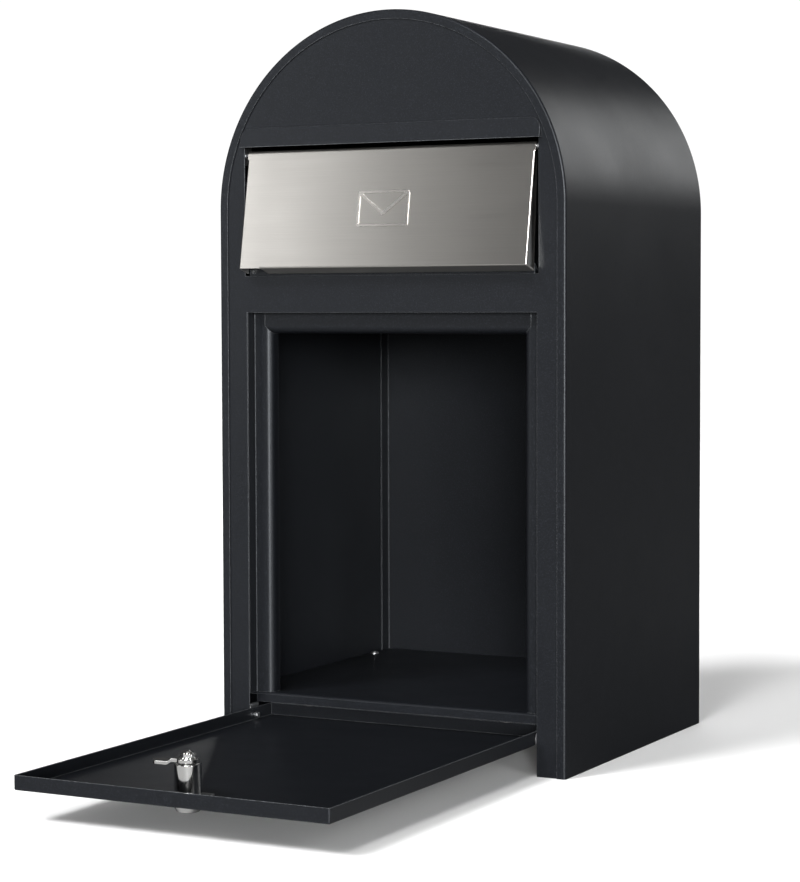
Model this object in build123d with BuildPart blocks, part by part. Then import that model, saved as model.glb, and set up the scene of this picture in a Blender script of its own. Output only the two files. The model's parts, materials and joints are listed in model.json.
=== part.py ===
"""Arch-topped parcel drop box: folded steel casing, drop-down door, stainless letter flap."""
from build123d import *
import math
import os

os.makedirs("parts", exist_ok=True)

# Frame: millimetres, +Z up, origin on the base at the middle of the footprint, front facing -Y.

# Casing
case_width = 310.0
case_height = 600.0
case_depth = 290.0
sheet = 1.2                 # folded steel of the casing, frame, floor and door
ring_width = 7.5            # front return of the wrap, which frames the front panel
foot_flange = 18.0          # inward return at the foot of each side
back_flange = 12.0

# Openings in the front panel
post_width = 25.0           # casing side to the edge of the door opening
rail_height = 30.0          # solid panel between the door opening and the letter slot
slot_height = 105.5
slot_below_top = 103.5      # top of the casing down to the top of the slot
slot_corner_margin = 6.7    # slot's upper corner to the inside of the front ring

# Rain visor over the slot
visor_sheet = 1.0
visor_height = 15.5
visor_kick = 3.0            # how far the lower lip stands in front of the panel
visor_seat = 2.5            # flat band that lies on the panel
visor_overlap = 1.0         # lip hangs this far below the slot's top edge
visor_side_margin = 1.7     # rounded corner to the inside of the front ring
visor_corner = 9.0

# Door
door_depth = 11.0           # folded rim of the tray
door_gap = 1.5              # between the door's edge and its opening
door_foot = 2.0             # closed door's lower edge above the base
door_land_gap = 0.6         # closed door's rim to the frame behind it
hinge_height = 29.0
pin_radius = 2.5
pin_weld_length = 3.0       # pin inside the tray
bush_wall = 1.0
bush_panel_gap = 0.05       # bush to the back of the front panel
bush_flange_lip = 2.0
bracket_sheet = 2.0
flap_bracket_gap = 0.5      # bracket face outside the edge of the slot
bracket_leg = 13.0
bracket_reach = 6.0         # bracket beyond the bore it carries
bracket_below = 12.0
bracket_above = 9.0
pin_tail = 2.5              # pin beyond the bracket

# Frame round the door opening
land_width = 10.0
land_drop = 11.0            # height of the upper land
lip_radius = 6.0
lip_return = 5.2
frame_flange = 10.0         # welded behind the front panel

# Floor
floor_height = 46.0
sill_drop = 7.0
rail_leg = 14.0
floor_screw_radius = 2.0
floor_screw_head = 3.8
floor_screw_head_height = 2.0
floor_screw_length = 9.0
floor_screw_spacing = 200.0
screw_gap = 0.2

# Fixings to a wall or a stand
wall_hole_radius = 4.0
wall_spacing_x = 180.0
wall_spacing_z = 400.0
wall_centre_height = 225.0
stand_hole_radius = 4.5
stand_spacing_y = 200.0

# Letter flap
flap_sheet = 1.2
flap_lean = 10.0            # degrees that the face leans out from the vertical
flap_side_gap = 3.0
flap_foot_gap = 6.0         # slot's lower edge to the face's lower edge
flap_axis_drop = 7.5        # slot's upper edge down to the hinge axis
flap_return = 14.6          # length of the lower return
flap_return_fall = 17.0     # degrees that the lower return falls towards the box
flap_return_notch = 18.5
rod_radius = 2.0
rod_cap_wall = 0.9
rod_cap_length = 3.0
rod_cap_gap = 0.22          # cap to the back of the front panel
buffer_radius = 3.0
buffer_spacing = 120.0

# Ramp behind the slot
ramp_upstand = 8.0          # above the slot's lower edge
ramp_skirt = 11.0           # welded below the slot's lower edge
ramp_run = 58.0
ramp_fall = 42.0
ramp_side_gap = 3.5

# Cam lock
lock_inset = 28.0           # door's free edge to the lock's axis
lock_radius = 9.5
lock_length = 26.0          # door's outer face to the end of the housing
lock_flat = 8.4             # flat on one side of the housing
lock_head = 8.0
lock_head_base_radius = 12.0
lock_head_tip_radius = 8.5
lock_hole_gap = 0.2
plug_radius = 6.0
keyway_width = 1.4
keyway_height = 7.0
keyway_depth = 5.0
shank_width = 7.0
cam_sheet = 3.0
cam_reach = 28.0
cam_root_radius = 8.0
cam_width = 12.0
cam_crank = 2.5             # step of the tongue towards the door
cam_crank_start = 10.0
cam_crank_run = 4.0
nut_radius = 6.0
nut_height = 5.5
clip_sheet = 2.0
clip_width = 27.0
clip_length = 28.0
pad_radius = 6.0
pad_spacing = 180.0

# Clearances
moving_gap = 0.3
running_fit = 0.05          # radial

# Places worked out from the sizes above
outer_radius = case_width / 2
inner_radius = outer_radius - sheet
arch_height = case_height - outer_radius
front = -case_depth / 2
back = case_depth / 2
panel_front = front + sheet
panel_back = panel_front + sheet

slot_top = case_height - slot_below_top
slot_bottom = slot_top - slot_height
opening_top = slot_bottom - rail_height
opening_half = outer_radius - post_width


def half_chord(radius, height):
    """Half the width of the arch of this radius at a height above the base."""
    return math.sqrt(radius**2 - max(height - arch_height, 0.0) ** 2)


slot_half = half_chord(outer_radius - ring_width, slot_top) - slot_corner_margin

bush_radius = pin_radius + running_fit + bush_wall
hinge_inset = sheet + bush_radius + bush_panel_gap  # hinge axis behind the door's outer face
hinge_y = panel_front + hinge_inset
door_half = opening_half - door_gap
door_top = opening_top - door_gap
door_under = hinge_height - hinge_inset
door_rim = door_under + door_depth
door_free_y = hinge_y - (door_top - hinge_height)
door_tail_y = hinge_y + (hinge_height - door_foot)

land_y = panel_front + door_depth + door_land_gap
land_inner_half = opening_half - land_width
clear_half = land_inner_half - lip_radius
land_bottom = opening_top - land_drop
clear_top = land_bottom - lip_radius
lip_back = land_y + lip_radius + lip_return
floor_top = floor_height + sheet

flap_axis_z = slot_top - flap_axis_drop
knuckle_radius = rod_radius + running_fit + flap_sheet
flap_axis_y = panel_back + rod_radius + rod_cap_wall + rod_cap_gap
flap_bottom_z = slot_bottom + flap_foot_gap
flap_lean_rad = math.radians(flap_lean)
flap_length = (
    flap_axis_z - flap_bottom_z + knuckle_radius * math.sin(flap_lean_rad)
) / math.cos(flap_lean_rad)
flap_bottom_y = (
    flap_axis_y
    - knuckle_radius * math.cos(flap_lean_rad)
    - flap_length * math.sin(flap_lean_rad)
)
flap_half = slot_half - flap_side_gap

lock_y = door_free_y + lock_inset
lock_end = door_under + lock_length
cam_bottom = lock_end + moving_gap
cam_top = cam_bottom + cam_sheet


def upright(y):
    """Plane facing the front at a depth y; its local axes are X and Z."""
    return Plane.XZ.offset(-y)


def arch_face(radius):
    """Arch-topped outline that stands on the base."""
    with BuildSketch() as arch:
        with BuildLine():
            Polyline((-radius, arch_height), (-radius, 0), (radius, 0), (radius, arch_height))
            ThreePointArc(
                (-radius, arch_height), (0, arch_height + radius), (radius, arch_height)
            )
        make_face()
    return arch.sketch


def strip_face(points, thickness, side):
    """Cross-section of a folded strip: a path and its copy one thickness to a side."""
    with BuildSketch() as strip:
        with BuildLine():
            Polyline(*points)
            offset(amount=thickness, side=side, kind=Kind.INTERSECTION)
        make_face()
    return strip.sketch


def finish(builder, name):
    """Label a finished piece and write it to its own file."""
    builder.part.label = name
    export_step(builder.part, f"parts/{name}.step")


SIDES = {"left": -1, "right": 1}

# Casing wrap: one sheet folded over the arch, with a front ring and a drilled foot on each side.
with BuildPart() as casing_wrap:
    with BuildSketch(upright(front)):
        add(arch_face(outer_radius))
        add(arch_face(inner_radius), mode=Mode.SUBTRACT)
    extrude(amount=-case_depth)
    with BuildSketch(upright(front)):
        add(arch_face(outer_radius))
        add(arch_face(outer_radius - ring_width), mode=Mode.SUBTRACT)
    extrude(amount=-sheet)
    foot_back = back - sheet - back_flange
    foot_x = inner_radius - foot_flange / 2
    with BuildSketch(Plane.XY):
        for side in SIDES.values():
            with Locations((side * foot_x, (panel_back + foot_back) / 2)):
                Rectangle(foot_flange, foot_back - panel_back)
        with GridLocations(2 * foot_x, stand_spacing_y, 2, 2):
            Circle(stand_hole_radius, mode=Mode.SUBTRACT)
    extrude(amount=sheet)
finish(casing_wrap, "casing_wrap")

# Back panel: arch plate with a forward flange, and four holes for wall screws.
with BuildPart() as back_panel:
    with BuildSketch(upright(back - sheet)):
        add(arch_face(inner_radius))
        with Locations((0, wall_centre_height)):
            with GridLocations(wall_spacing_x, wall_spacing_z, 2, 2):
                Circle(wall_hole_radius, mode=Mode.SUBTRACT)
    extrude(amount=-sheet)
    with BuildSketch(upright(back - sheet - back_flange)):
        add(arch_face(inner_radius))
        add(arch_face(inner_radius - sheet), mode=Mode.SUBTRACT)
    extrude(amount=-back_flange)
finish(back_panel, "back_panel")

# Front panel: behind the ring, open for the letter slot and, down to the base, for the door.
with BuildPart() as front_panel:
    with BuildSketch(upright(panel_front)):
        add(arch_face(inner_radius))
        with Locations((0, opening_top / 2)):
            Rectangle(2 * opening_half, opening_top, mode=Mode.SUBTRACT)
        with Locations((0, slot_top - slot_height / 2)):
            Rectangle(2 * slot_half, slot_height, mode=Mode.SUBTRACT)
    extrude(amount=-sheet)
finish(front_panel, "front_panel")

# Rain visor: strip welded over the slot, its lower lip kicked forward, its upper corners round.
visor_bottom = slot_top - visor_overlap
visor_top = visor_bottom + visor_height
corner_cut = visor_corner * (1 - math.sqrt(0.5))
visor_half = (
    half_chord(outer_radius - ring_width, visor_top - corner_cut) + corner_cut - visor_side_margin
)
with BuildPart() as rain_visor:
    with BuildSketch(Plane.YZ):
        add(
            strip_face(
                [
                    (panel_front, visor_top),
                    (panel_front, visor_top - visor_seat),
                    (panel_front - visor_kick, visor_bottom),
                ],
                visor_sheet,
                Side.RIGHT,
            )
        )
    extrude(amount=visor_half, both=True)
    with BuildSketch(upright(panel_back)):
        with Locations((0, visor_top - visor_height / 2)):
            Rectangle(2 * visor_half, visor_height + 2 * visor_sheet)
        with BuildLine():
            FilletPolyline(
                (-visor_half, visor_bottom - visor_sheet),
                (-visor_half, visor_top),
                (visor_half, visor_top),
                (visor_half, visor_bottom - visor_sheet),
                radius=visor_corner,
            )
            Line((-visor_half, visor_bottom - visor_sheet), (visor_half, visor_bottom - visor_sheet))
        make_face(mode=Mode.INTERSECT)
    extrude(amount=visor_kick + 4 * sheet, mode=Mode.INTERSECT)
finish(rain_visor, "rain_visor")

# Door frame: two side members and a top member, butted at the land and mitred at the rolled lip.
for name, side in SIDES.items():
    with BuildPart() as door_frame_side:
        with BuildSketch(Plane.XY.offset(floor_top)):
            with BuildLine():
                Polyline(
                    (-opening_half - frame_flange, panel_back),
                    (-opening_half, panel_back),
                    (-opening_half, land_y),
                    (-land_inner_half, land_y),
                )
                JernArc((-land_inner_half, land_y), (1, 0), lip_radius, 90)
                Line((-clear_half, land_y + lip_radius), (-clear_half, lip_back))
                offset(amount=sheet, side=Side.LEFT, kind=Kind.INTERSECTION)
            make_face()
        extrude(amount=opening_top - floor_top)
        with BuildSketch(upright(panel_back)):
            Polygon(
                (-opening_half - frame_flange, floor_top),
                (-opening_half - frame_flange, opening_top),
                (-land_inner_half, opening_top),
                (-land_inner_half, land_bottom),
                (-clear_half, clear_top),
                (-clear_half, floor_top),
                align=None,
            )
        extrude(amount=-(lip_back - panel_back), mode=Mode.INTERSECT)
        if side > 0:
            mirror(about=Plane.YZ, mode=Mode.REPLACE)
    finish(door_frame_side, f"door_frame_{name}")

with BuildPart() as door_frame_top:
    with BuildSketch(Plane.YZ):
        with BuildLine():
            Polyline(
                (panel_back, opening_top + frame_flange),
                (panel_back, opening_top),
                (land_y, opening_top),
                (land_y, land_bottom),
            )
            JernArc((land_y, land_bottom), (0, -1), lip_radius, 90)
            Line((land_y + lip_radius, clear_top), (lip_back, clear_top))
            offset(amount=sheet, side=Side.LEFT, kind=Kind.INTERSECTION)
        make_face()
    extrude(amount=opening_half + sheet, both=True)
    with BuildSketch(upright(panel_back)):
        Polygon(
            (-opening_half - sheet, opening_top + frame_flange),
            (-opening_half - sheet, opening_top),
            (-land_inner_half, opening_top),
            (-land_inner_half, land_bottom),
            (-clear_half, clear_top),
            (clear_half, clear_top),
            (land_inner_half, land_bottom),
            (land_inner_half, opening_top),
            (opening_half + sheet, opening_top),
            (opening_half + sheet, opening_top + frame_flange),
            align=None,
        )
    extrude(amount=-(lip_back - panel_back), mode=Mode.INTERSECT)
finish(door_frame_top, "door_frame_top")

# Floor pan: raised above the door's tail, with a turned-down sill.
floor_half = inner_radius - sheet
floor_back = back - sheet
floor_middle = (land_y + floor_back) / 2
rail_back = floor_back - back_flange
floor_screw_x = inner_radius - rail_leg / 2
with BuildPart() as floor_pan:
    with BuildSketch(Plane.XY.offset(floor_height)):
        with Locations((0, floor_middle)):
            Rectangle(2 * floor_half, floor_back - land_y)
        with Locations((0, floor_middle)):
            with GridLocations(2 * floor_screw_x, floor_screw_spacing, 2, 2):
                Circle(floor_screw_radius + screw_gap, mode=Mode.SUBTRACT)
    extrude(amount=sheet)
    with BuildSketch(upright(land_y)):
        with Locations((0, floor_height - sill_drop / 2)):
            Rectangle(2 * opening_half, sill_drop)
    extrude(amount=-sheet)
finish(floor_pan, "floor_pan")

# Floor rails: an angle on each side wall that carries the floor pan.
for name, side in SIDES.items():
    with BuildPart() as floor_rail:
        with BuildSketch(upright(land_y)):
            add(
                strip_face(
                    [
                        (side * inner_radius, floor_height - rail_leg),
                        (side * inner_radius, floor_height),
                        (side * (inner_radius - rail_leg), floor_height),
                    ],
                    sheet,
                    Side.LEFT if side > 0 else Side.RIGHT,
                )
            )
        extrude(amount=-(rail_back - land_y))
        with BuildSketch(Plane.XY.offset(floor_height)):
            with Locations((side * floor_screw_x, floor_middle)):
                with GridLocations(1, floor_screw_spacing, 1, 2):
                    Circle(floor_screw_radius)
        extrude(amount=-2 * sheet, mode=Mode.SUBTRACT)
    finish(floor_rail, f"floor_rail_{name}")

# Floor screws: pan heads on the floor, shanks in the rails.
with BuildPart() as floor_screws:
    with BuildSketch(Plane.XY.offset(floor_top)):
        with Locations((0, floor_middle)):
            with GridLocations(2 * floor_screw_x, floor_screw_spacing, 2, 2):
                Circle(floor_screw_head)
    extrude(amount=floor_screw_head_height)
    fillet(faces().filter_by(Axis.Z).group_by(Axis.Z)[-1].edges(), radius=floor_screw_head_height / 3)
    with BuildSketch(Plane.XY.offset(floor_top)):
        with Locations((0, floor_middle)):
            with GridLocations(2 * floor_screw_x, floor_screw_spacing, 2, 2):
                Circle(floor_screw_radius)
    extrude(amount=-floor_screw_length)
finish(floor_screws, "floor_screws")

# Door hinge: on each side a bracket behind the post, and a flanged bush pressed into it.
bush_flange = door_gap - moving_gap
for name, side in SIDES.items():
    with BuildPart() as door_bracket:
        with BuildSketch(Plane.YZ.offset(side * opening_half)):
            with Locations((panel_back, hinge_height - bracket_below)):
                Rectangle(
                    hinge_y + bush_radius + bracket_reach - panel_back,
                    bracket_below + bracket_above,
                    align=(Align.MIN, Align.MIN),
                )
            with Locations((hinge_y, hinge_height)):
                Circle(bush_radius, mode=Mode.SUBTRACT)
        extrude(amount=side * bracket_sheet)
        with BuildSketch(upright(panel_back)):
            with Locations((side * (opening_half + bracket_leg / 2), hinge_height - bracket_below)):
                Rectangle(bracket_leg, bracket_below + bracket_above, align=(Align.CENTER, Align.MIN))
        extrude(amount=-bracket_sheet)
        with BuildSketch(Plane.YZ.offset(side * opening_half)):
            with Locations((hinge_y, hinge_height)):
                Circle(bush_radius)
        extrude(amount=side * bracket_leg, mode=Mode.SUBTRACT)
    finish(door_bracket, f"door_bracket_{name}")

    with BuildPart() as door_bush:
        with BuildSketch(Plane.YZ.offset(side * opening_half)):
            with Locations((hinge_y, hinge_height)):
                Circle(bush_radius)
        extrude(amount=side * bracket_sheet)
        with BuildSketch(Plane.YZ.offset(side * opening_half)):
            with Locations((hinge_y, hinge_height)):
                Circle(bush_radius + bush_flange_lip)
        extrude(amount=-side * bush_flange)
        with BuildSketch(Plane.YZ.offset(side * (opening_half - bush_flange))):
            with Locations((hinge_y, hinge_height)):
                Circle(pin_radius + running_fit)
        extrude(amount=side * (bush_flange + bracket_sheet), mode=Mode.SUBTRACT)
    finish(door_bush, f"door_bush_{name}")

# Door stop pads: rubber buttons under the floor that the open door's tail meets.
with BuildPart() as door_stop_pads:
    with BuildSketch(Plane.XY.offset(door_rim + moving_gap)):
        with Locations((0, door_tail_y - sheet / 2)):
            with GridLocations(pad_spacing, 1, 2, 1):
                Circle(pad_radius)
    extrude(amount=floor_height - door_rim - moving_gap)
finish(door_stop_pads, "door_stop_pads")

# Access door: a folded tray, lying open with its inside up.
with BuildPart() as access_door:
    with BuildSketch(Plane.XY.offset(door_under)):
        with Locations((0, (door_free_y + door_tail_y) / 2)):
            Rectangle(2 * door_half, door_tail_y - door_free_y)
    extrude(amount=door_depth)
    with BuildSketch(Plane.XY.offset(door_under + sheet)):
        with Locations((0, (door_free_y + door_tail_y) / 2)):
            Rectangle(2 * (door_half - sheet), door_tail_y - door_free_y - 2 * sheet)
    extrude(amount=door_depth, mode=Mode.SUBTRACT)
    with BuildSketch(Plane.XY.offset(door_under)):
        with Locations((0, lock_y)):
            Circle(lock_radius + lock_hole_gap)
    extrude(amount=sheet, mode=Mode.SUBTRACT)
    with BuildSketch(Plane.YZ):
        with Locations((hinge_y, hinge_height)):
            Circle(pin_radius)
    extrude(amount=case_width, both=True, mode=Mode.SUBTRACT)
finish(access_door, "access_door")

# Door hinge pins: welded to the tray's sides, turning in the bushes.
pin_start = door_half - sheet - pin_weld_length
pin_end = opening_half + bracket_sheet + pin_tail
with BuildPart() as door_hinge_pins:
    for side in SIDES.values():
        with BuildSketch(Plane.YZ.offset(side * pin_start)):
            with Locations((hinge_y, hinge_height)):
                Circle(pin_radius)
        extrude(amount=side * (pin_end - pin_start))
finish(door_hinge_pins, "door_hinge_pins")

# Letter flap: leaning face rolled round the rod, two cheeks and a lower return with a notch.
return_rad = math.radians(flap_return_fall)
return_end = (
    flap_bottom_y + flap_return * math.cos(return_rad),
    flap_bottom_z - flap_return * math.sin(return_rad),
)
face_top = (
    flap_axis_y - knuckle_radius * math.cos(flap_lean_rad),
    flap_axis_z + knuckle_radius * math.sin(flap_lean_rad),
)
face_bottom = (flap_bottom_y, flap_bottom_z)
flap_notch_x = -(flap_half - flap_sheet - flap_return_notch / 2)
with BuildPart() as mail_flap:
    with BuildSketch(Plane.YZ):
        add(strip_face([face_top, face_bottom, return_end], flap_sheet, Side.LEFT))
        with Locations((flap_axis_y, flap_axis_z)):
            Circle(knuckle_radius)
    extrude(amount=flap_half, both=True)
    for side in SIDES.values():
        with BuildSketch(Plane.YZ.offset(side * flap_half)):
            Polygon(
                face_top,
                face_bottom,
                return_end,
                (flap_axis_y + knuckle_radius, flap_axis_z),
                (flap_axis_y, flap_axis_z + knuckle_radius),
                align=None,
            )
        extrude(amount=-side * flap_sheet)
    with BuildSketch(Plane.YZ):
        with Locations((flap_axis_y, flap_axis_z)):
            Circle(rod_radius + running_fit)
    extrude(amount=case_width, both=True, mode=Mode.SUBTRACT)
    with BuildSketch(Plane.XY.offset(flap_bottom_z)):
        with Locations((flap_notch_x, flap_bottom_y + 2 * flap_sheet + flap_return / 2)):
            Rectangle(flap_return_notch, flap_return)
    extrude(amount=-flap_foot_gap - flap_sheet, mode=Mode.SUBTRACT)
finish(mail_flap, "mail_flap")

# Flap hinge: a rod in two brackets behind the panel, with a cap on each end.
flap_bracket_x = slot_half + flap_bracket_gap
with BuildPart() as flap_rod:
    with BuildSketch(Plane.YZ):
        with Locations((flap_axis_y, flap_axis_z)):
            Circle(rod_radius)
    extrude(amount=flap_bracket_x + bracket_sheet + rod_cap_length, both=True)
finish(flap_rod, "flap_rod")

for name, side in SIDES.items():
    with BuildPart() as flap_bracket:
        with BuildSketch(Plane.YZ.offset(side * flap_bracket_x)):
            with Locations((panel_back, flap_axis_z)):
                Rectangle(
                    flap_axis_y + rod_radius + bracket_reach - panel_back,
                    2 * (rod_radius + bracket_reach),
                    align=(Align.MIN, Align.CENTER),
                )
        extrude(amount=side * bracket_sheet)
        with BuildSketch(upright(panel_back)):
            with Locations((side * (flap_bracket_x + bracket_leg / 4), flap_axis_z)):
                Rectangle(bracket_leg / 2, 2 * (rod_radius + bracket_reach))
        extrude(amount=-bracket_sheet)
        with BuildSketch(Plane.YZ.offset(side * flap_bracket_x)):
            with Locations((flap_axis_y, flap_axis_z)):
                Circle(rod_radius)
        extrude(amount=side * bracket_sheet, mode=Mode.SUBTRACT)
        with BuildSketch(Plane.YZ.offset(side * (flap_bracket_x + bracket_sheet))):
            with Locations((flap_axis_y, flap_axis_z)):
                Circle(rod_radius + rod_cap_wall + moving_gap)
        extrude(amount=side * bracket_leg, mode=Mode.SUBTRACT)
    finish(flap_bracket, f"flap_bracket_{name}")

with BuildPart() as flap_rod_caps:
    for side in SIDES.values():
        with BuildSketch(Plane.YZ.offset(side * (flap_bracket_x + bracket_sheet))):
            with Locations((flap_axis_y, flap_axis_z)):
                Circle(rod_radius + rod_cap_wall)
                Circle(rod_radius, mode=Mode.SUBTRACT)
        extrude(amount=side * rod_cap_length)
finish(flap_rod_caps, "flap_rod_caps")

# Slot ramp: welded below the slot, it carries letters over the door frame into the box.
with BuildPart() as slot_ramp:
    with BuildSketch(Plane.YZ):
        add(
            strip_face(
                [
                    (panel_back, slot_bottom - ramp_skirt),
                    (panel_back, slot_bottom + ramp_upstand),
                    (panel_back + ramp_run, slot_bottom + ramp_upstand - ramp_fall),
                ],
                sheet,
                Side.RIGHT,
            )
        )
    extrude(amount=slot_half - ramp_side_gap, both=True)
finish(slot_ramp, "slot_ramp")

# Flap buffers: rubber buttons on the ramp's upstand that the closed flap rests on.
buffer_height = slot_bottom + flap_foot_gap - buffer_radius / 2
with BuildPart() as flap_buffers:
    with BuildSketch(upright(panel_back)):
        with Locations((0, buffer_height)):
            with GridLocations(buffer_spacing, 1, 2, 1):
                Circle(buffer_radius)
    extrude(amount=panel_back - return_end[0] - flap_sheet * math.sin(return_rad) - moving_gap)
finish(flap_buffers, "flap_buffers")

# Cam lock: housing with a tapered head under the door, held by a horseshoe clip inside it.
with BuildPart() as lock_body:
    with BuildSketch(Plane.XY.offset(door_under)):
        with Locations((0, lock_y)):
            Circle(lock_radius)
        with Locations((lock_flat + lock_radius, lock_y)):
            Rectangle(2 * lock_radius, 2 * lock_radius, mode=Mode.SUBTRACT)
    extrude(amount=lock_length)
    with BuildSketch(Plane.XY.offset(door_under)):
        with Locations((0, lock_y)):
            Circle(lock_head_base_radius)
    with BuildSketch(Plane.XY.offset(door_under - lock_head)):
        with Locations((0, lock_y)):
            Circle(lock_head_tip_radius)
    loft()
    with BuildSketch(Plane.XY.offset(door_under - lock_head)):
        with Locations((0, lock_y)):
            Circle(plug_radius + running_fit)
    extrude(amount=lock_head + lock_length, mode=Mode.SUBTRACT)
finish(lock_body, "lock_body")

with BuildPart() as lock_clip:
    with BuildSketch(Plane.XY.offset(door_under + sheet)):
        with Locations((0, lock_y)):
            Rectangle(clip_length, clip_width)
            Circle(lock_radius, mode=Mode.SUBTRACT)
        with Locations((-clip_length / 2, lock_y)):
            Rectangle(clip_length, 2 * lock_radius, mode=Mode.SUBTRACT)
        fillet(vertices().group_by(Axis.X)[-1], radius=clip_sheet)
    extrude(amount=clip_sheet)
finish(lock_clip, "lock_clip")

# Lock plug: turns in the housing, with a keyway in its face and a square shank for the cam.
with BuildPart() as lock_plug:
    with BuildSketch(Plane.XY.offset(door_under - lock_head)):
        with Locations((0, lock_y)):
            Circle(plug_radius)
    extrude(amount=lock_head + lock_length)
    with BuildSketch(Plane.XY.offset(lock_end)):
        with Locations((0, lock_y)):
            Rectangle(shank_width, shank_width)
    extrude(amount=moving_gap + cam_sheet)
    with BuildSketch(Plane.XY.offset(door_under - lock_head)):
        with Locations((0, lock_y)):
            Rectangle(keyway_width, keyway_height)
    extrude(amount=keyway_depth, mode=Mode.SUBTRACT)
finish(lock_plug, "lock_plug")

# Lock cam: cranked tongue pointing to the left side while the lock is open.
with BuildPart() as lock_cam:
    with BuildSketch(upright(lock_y)):
        add(
            strip_face(
                [
                    (cam_root_radius, cam_top),
                    (-cam_crank_start, cam_top),
                    (-cam_crank_start - cam_crank_run, cam_top - cam_crank),
                    (-cam_reach, cam_top - cam_crank),
                ],
                cam_sheet,
                Side.LEFT,
            )
        )
    extrude(amount=cam_root_radius, both=True)
    with BuildSketch(Plane.XY.offset(cam_bottom - cam_crank - cam_sheet)):
        with Locations((0, lock_y)):
            Circle(cam_root_radius)
        with Locations((-(cam_reach - cam_width / 2) / 2, lock_y)):
            Rectangle(cam_reach - cam_width / 2, cam_width)
        with Locations((-(cam_reach - cam_width / 2), lock_y)):
            Circle(cam_width / 2)
    extrude(amount=3 * cam_sheet + cam_crank, mode=Mode.INTERSECT)
    with BuildSketch(Plane.XY.offset(cam_bottom)):
        with Locations((0, lock_y)):
            Rectangle(shank_width, shank_width)
    extrude(amount=cam_sheet, mode=Mode.SUBTRACT)
finish(lock_cam, "lock_cam")

with BuildPart() as cam_nut:
    with BuildSketch(Plane.XY.offset(cam_top)):
        with Locations((0, lock_y)):
            Circle(nut_radius)
    extrude(amount=nut_height)
    fillet(faces().sort_by(Axis.Z)[-1].edges(), radius=nut_radius / 2)
finish(cam_nut, "cam_nut")
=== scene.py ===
"""Looks of the parcel drop box: formed sheet pieces, lock, flap, finishes, light and camera.

Meshes are drawn in millimetres in the model's own frame and scaled to metres as each piece is made.
"""
import json
import logging
import math
from dataclasses import dataclass, field
from enum import Enum
from typing import Iterable, Sequence

import bmesh
import bpy
from bmesh.types import BMEdge, BMesh, BMFace, BMVert
from bpy.types import NodeSocket
from mathutils import Matrix, Vector


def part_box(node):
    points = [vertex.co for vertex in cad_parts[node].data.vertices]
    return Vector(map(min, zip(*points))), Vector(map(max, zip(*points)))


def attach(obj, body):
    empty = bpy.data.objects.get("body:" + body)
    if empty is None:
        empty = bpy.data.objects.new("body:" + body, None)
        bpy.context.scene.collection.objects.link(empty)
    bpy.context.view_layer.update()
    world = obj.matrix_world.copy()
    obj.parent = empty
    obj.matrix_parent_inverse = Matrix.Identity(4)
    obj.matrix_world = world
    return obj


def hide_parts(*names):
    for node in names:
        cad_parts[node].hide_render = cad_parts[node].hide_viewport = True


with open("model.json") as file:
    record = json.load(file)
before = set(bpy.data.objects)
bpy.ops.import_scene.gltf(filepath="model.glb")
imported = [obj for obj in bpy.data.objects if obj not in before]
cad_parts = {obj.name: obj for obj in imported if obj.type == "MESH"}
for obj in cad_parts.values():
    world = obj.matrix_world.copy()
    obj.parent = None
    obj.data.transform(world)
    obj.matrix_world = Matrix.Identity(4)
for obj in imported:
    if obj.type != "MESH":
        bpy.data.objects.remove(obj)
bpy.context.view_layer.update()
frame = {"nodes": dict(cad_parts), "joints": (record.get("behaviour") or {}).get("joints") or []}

Point = Sequence[float]
Colour = tuple[float, float, float]
Range = tuple[float, float]
Sockets = dict[str | int, object]

MM = 0.001
MERGE = 0.001       # points this close, in millimetres, are one point
NEAR = 0.01         # slack, in millimetres, when points are picked by their place
DOWN, UP, FORWARD, BACKWARD = (0, 0, -1), (0, 0, 1), (0, -1, 0), (0, 1, 0)
LOG = logging.getLogger("drop_box")


class Body(Enum):
    """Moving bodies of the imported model."""

    CASING = "casing"
    DOOR = "door"
    BARREL = "lock_barrel"
    FLAP = "flap"


class Slot(Enum):
    """Material slots of the record."""

    CASING = "casing_black"
    FLAP = "flap_stainless"
    LOCK = "lock_chrome"
    ZINC = "zinc_steel"
    RUBBER = "rubber_black"
    NYLON = "nylon"


class Side(Enum):
    """Sides of the box, as the sign of X."""

    LEFT = -1
    RIGHT = 1


class Axis(Enum):
    """Axes that a circle can be round, each as the turn that brings Z to it."""

    Y = (math.pi / 2, 4, "X")
    Z = (0.0, 4, "Z")


class Blend(Enum):
    """Kinds of Mix node, each with the places of its two inputs and its result."""

    COLOUR = ("RGBA", 6, 7, 2)
    NUMBER = ("FLOAT", 2, 3, 0)


# ---------------------------------------------------------------- finishes


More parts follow.
